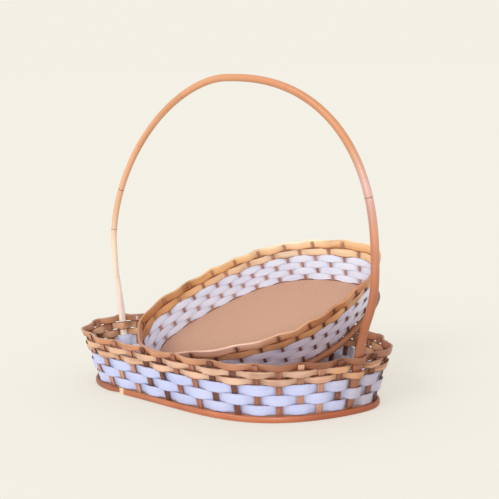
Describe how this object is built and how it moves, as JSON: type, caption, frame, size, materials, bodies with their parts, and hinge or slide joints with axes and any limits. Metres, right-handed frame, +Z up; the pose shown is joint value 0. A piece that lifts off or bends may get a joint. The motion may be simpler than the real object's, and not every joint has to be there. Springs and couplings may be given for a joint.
{
  "type": "woven basket set",
  "caption": "Oval woven splint basket with a tall cane handle, and a smaller matching basket without a handle leaning inside it.",
  "frame": {"origin": "middle of the larger basket's floor, on the flat underside that it stands on", "axes": "+X along the basket's length towards the end by the handle's thick foot, -Y to the front, +Z up"},
  "size_m": [0.3986, 0.2448, 0.3778],
  "materials": {
    "strip": "flat wood splint, painted a pale lilac white, satin",
    "cane": "split cane, light tan, satin",
    "rim_cane": "split cane, stained light brown, satin",
    "stake": "half-round splint, stained reddish brown and varnished",
    "hoop": "round cane, reddish orange, varnished",
    "board": "hardboard, pinkish tan, matt",
    "rod": "peeled rattan rod, orange tan, varnished"
  },
  "bodies": {
    "basket": {"basket_board": "board", "basket_base_hoop": "hoop", "basket_strip_1": "strip", "basket_strip_2": "strip", "basket_strip_3": "strip", "basket_cane_1": "cane", "basket_cane_2": "cane", "basket_rim_cane": "rim_cane", "basket_stakes_01": "stake", "basket_stakes_02": "stake", "basket_stakes_03": "stake", "basket_stakes_04": "stake", "basket_stakes_05": "stake", "basket_stakes_06": "stake", "basket_stakes_07": "stake", "basket_stakes_08": "stake", "basket_stakes_09": "stake", "basket_stakes_10": "stake", "basket_stakes_11": "stake", "basket_stakes_12": "stake", "basket_stakes_13": "stake", "basket_stakes_14": "stake", "basket_stakes_15": "stake", "basket_stakes_16": "stake", "basket_stakes_17": "stake", "basket_stakes_18": "stake", "basket_stakes_19": "stake", "basket_stakes_20": "stake", "handle": "rod"},
    "tray": {"tray_board": "board", "tray_base_hoop": "hoop", "tray_strip_1": "strip", "tray_strip_2": "strip", "tray_strip_3": "strip", "tray_strip_4": "strip", "tray_cane_1": "cane", "tray_rim_cane": "rim_cane", "tray_stakes_01": "stake", "tray_stakes_02": "stake", "tray_stakes_03": "stake", "tray_stakes_04": "stake", "tray_stakes_05": "stake", "tray_stakes_06": "stake", "tray_stakes_07": "stake", "tray_stakes_08": "stake", "tray_stakes_09": "stake", "tray_stakes_10": "stake", "tray_stakes_11": "stake", "tray_stakes_12": "stake", "tray_stakes_13": "stake", "tray_stakes_14": "stake", "tray_stakes_15": "stake", "tray_stakes_16": "stake", "tray_stakes_17": "stake", "tray_stakes_18": "stake"}
  },
  "joints": [
    {"name": "tray_lift", "type": "slide", "parent": "basket", "child": "tray", "axis": [0.1274, 0.4835, 0.866], "range_m": [0, 0.38]}
  ]
}
